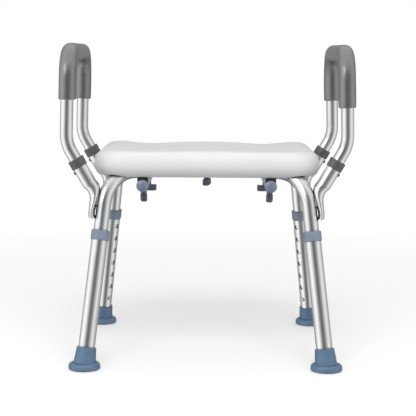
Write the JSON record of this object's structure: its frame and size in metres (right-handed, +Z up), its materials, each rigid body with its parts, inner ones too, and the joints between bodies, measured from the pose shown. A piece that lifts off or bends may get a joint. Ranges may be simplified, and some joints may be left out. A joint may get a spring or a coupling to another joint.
{
  "type": "shower stool",
  "caption": "Bath stool with a contoured seat on crossed telescoping legs, and lift-off arched armrests with foam grips.",
  "frame": {"origin": "on the floor under the middle of the seat", "axes": "+X across the seat to the right armrest, +Y from front to back, +Z up"},
  "size_m": [0.5167, 0.4388, 0.561],
  "materials": {
    "seat": "blow-moulded polyethylene, finely grained",
    "tube": "satin anodised",
    "collar": "satin moulded",
    "foot": "matte",
    "plug": "smooth moulded",
    "latch": "satin moulded",
    "saddle": "matte",
    "ring": "satin moulded",
    "black_button": "smooth",
    "steel_button": "satin",
    "weld": "rippled weld bead",
    "steel": "satin",
    "grip": "closed-cell foam, matte"
  },
  "bodies": {
    "frame": {"seat": "seat", "frame_tube_a": "tube", "frame_tube_b": "tube", "cross_bar_left": "tube", "cross_bar_right": "tube", "bar_end_plugs": "plug", "bar_saddles": "saddle", "leg_button_springs": "steel", "receiver_welds": "weld", "receiver_fl": "tube", "receiver_fr": "tube", "receiver_rl": "tube", "receiver_rr": "tube", "receiver_ring_fl": "ring", "receiver_ring_fr": "ring", "receiver_ring_rl": "ring", "receiver_ring_rr": "ring"},
    "leg_fl": {"lower_leg_fl": "tube", "leg_collar_fl": "collar", "foot_fl": "foot", "foot_washer_fl": "steel"},
    "leg_button_fl": {"leg_button_fl": "steel_button"},
    "leg_fr": {"lower_leg_fr": "tube", "leg_collar_fr": "collar", "foot_fr": "foot", "foot_washer_fr": "steel"},
    "leg_button_fr": {"leg_button_fr": "steel_button"},
    "leg_rl": {"lower_leg_rl": "tube", "leg_collar_rl": "collar", "foot_rl": "foot", "foot_washer_rl": "steel"},
    "leg_button_rl": {"leg_button_rl": "steel_button"},
    "leg_rr": {"lower_leg_rr": "tube", "leg_collar_rr": "collar", "foot_rr": "foot", "foot_washer_rr": "steel"},
    "leg_button_rr": {"leg_button_rr": "steel_button"},
    "arm_left": {"arm_tube_left": "tube", "grip_left": "grip", "arm_button_springs_left": "steel"},
    "arm_button_fl": {"arm_button_fl": "black_button"},
    "arm_button_rl": {"arm_button_rl": "black_button"},
    "arm_right": {"arm_tube_right": "tube", "grip_right": "grip", "arm_button_springs_right": "steel"},
    "arm_button_fr": {"arm_button_fr": "black_button"},
    "arm_button_rr": {"arm_button_rr": "black_button"},
    "latch_fl": {"latch_fl": "latch", "latch_spindle_fl": "steel"},
    "latch_fr": {"latch_fr": "latch", "latch_spindle_fr": "steel"},
    "latch_rl": {"latch_rl": "latch", "latch_spindle_rl": "steel"},
    "latch_rr": {"latch_rr": "latch", "latch_spindle_rr": "steel"},
    "latch_centre": {"latch_centre": "latch", "latch_spindle_centre": "steel"}
  },
  "joints": [
    {"name": "leg_height_fl", "type": "slide", "parent": "frame", "child": "leg_fl", "axis": [-0.1092, -0.1709, -0.9792], "range_m": [0, 0.1524]},
    {"name": "leg_button_press_fl", "type": "slide", "parent": "frame", "child": "leg_button_fl", "axis": [-0.6738, -0.7116, 0.1994], "range_m": [0, 0.0035], "stiffness_N_per_m": 700, "springref_m": -0.002, "deforming": ["leg_button_springs"]},
    {"name": "leg_height_fr", "type": "slide", "parent": "frame", "child": "leg_fr", "axis": [0.1092, -0.1709, -0.9792], "range_m": [0, 0.1524]},
    {"name": "leg_button_press_fr", "type": "slide", "parent": "frame", "child": "leg_button_fr", "axis": [0.6738, -0.7116, 0.1994], "range_m": [0, 0.0035], "stiffness_N_per_m": 700, "springref_m": -0.002},
    {"name": "leg_height_rl", "type": "slide", "parent": "frame", "child": "leg_rl", "axis": [-0.1092, 0.1709, -0.9792], "range_m": [0, 0.1524]},
    {"name": "leg_button_press_rl", "type": "slide", "parent": "frame", "child": "leg_button_rl", "axis": [-0.6738, 0.7116, 0.1994], "range_m": [0, 0.0035], "stiffness_N_per_m": 700, "springref_m": -0.002},
    {"name": "leg_height_rr", "type": "slide", "parent": "frame", "child": "leg_rr", "axis": [0.1092, 0.1709, -0.9792], "range_m": [0, 0.1524]},
    {"name": "leg_button_press_rr", "type": "slide", "parent": "frame", "child": "leg_button_rr", "axis": [0.6738, 0.7116, 0.1994], "range_m": [0, 0.0035], "stiffness_N_per_m": 700, "springref_m": -0.002},
    {"name": "arm_lift_left", "type": "slide", "parent": "frame", "child": "arm_left", "axis": [-0.5, 0, 0.866], "range_m": [0, 0.06], "deforming": ["arm_button_fl", "arm_button_rl"]},
    {"name": "arm_button_press_fl", "type": "slide", "parent": "arm_left", "child": "arm_button_fl", "axis": [0.866, 0, 0.5], "range_m": [0, 0.0035], "stiffness_N_per_m": 700, "springref_m": -0.002, "deforming": ["arm_button_springs_left"]},
    {"name": "arm_button_press_rl", "type": "slide", "parent": "arm_left", "child": "arm_button_rl", "axis": [0.866, 0, 0.5], "range_m": [0, 0.0035], "stiffness_N_per_m": 700, "springref_m": -0.002},
    {"name": "arm_lift_right", "type": "slide", "parent": "frame", "child": "arm_right", "axis": [0.5, 0, 0.866], "range_m": [0, 0.06], "deforming": ["arm_button_fr", "arm_button_rr"]},
    {"name": "arm_button_press_fr", "type": "slide", "parent": "arm_right", "child": "arm_button_fr", "axis": [-0.866, 0, 0.5], "range_m": [0, 0.0035], "stiffness_N_per_m": 700, "springref_m": -0.002, "deforming": ["arm_button_springs_right"]},
    {"name": "arm_button_press_rr", "type": "slide", "parent": "arm_right", "child": "arm_button_rr", "axis": [-0.866, 0, 0.5], "range_m": [0, 0.0035], "stiffness_N_per_m": 700, "springref_m": -0.002},
    {"name": "latch_turn_fl", "type": "hinge", "parent": "frame", "child": "latch_fl", "pos_m": [-0.1122, -0.08735, 0.3026], "axis": [0, 0, 1], "range_deg": [0, 90]},
    {"name": "latch_turn_fr", "type": "hinge", "parent": "frame", "child": "latch_fr", "pos_m": [0.1122, -0.08735, 0.3026], "axis": [0, 0, 1], "range_deg": [0, 90]},
    {"name": "latch_turn_rl", "type": "hinge", "parent": "frame", "child": "latch_rl", "pos_m": [-0.1122, 0.08735, 0.3026], "axis": [0, 0, 1], "range_deg": [0, 90]},
    {"name": "latch_turn_rr", "type": "hinge", "parent": "frame", "child": "latch_rr", "pos_m": [0.1122, 0.08735, 0.3026], "axis": [0, 0, 1], "range_deg": [0, 90]},
    {"name": "latch_turn_centre", "type": "hinge", "parent": "frame", "child": "latch_centre", "pos_m": [0, 0, 0.3227], "axis": [0, 0, 1], "range_deg": [0, 90]}
  ]
}
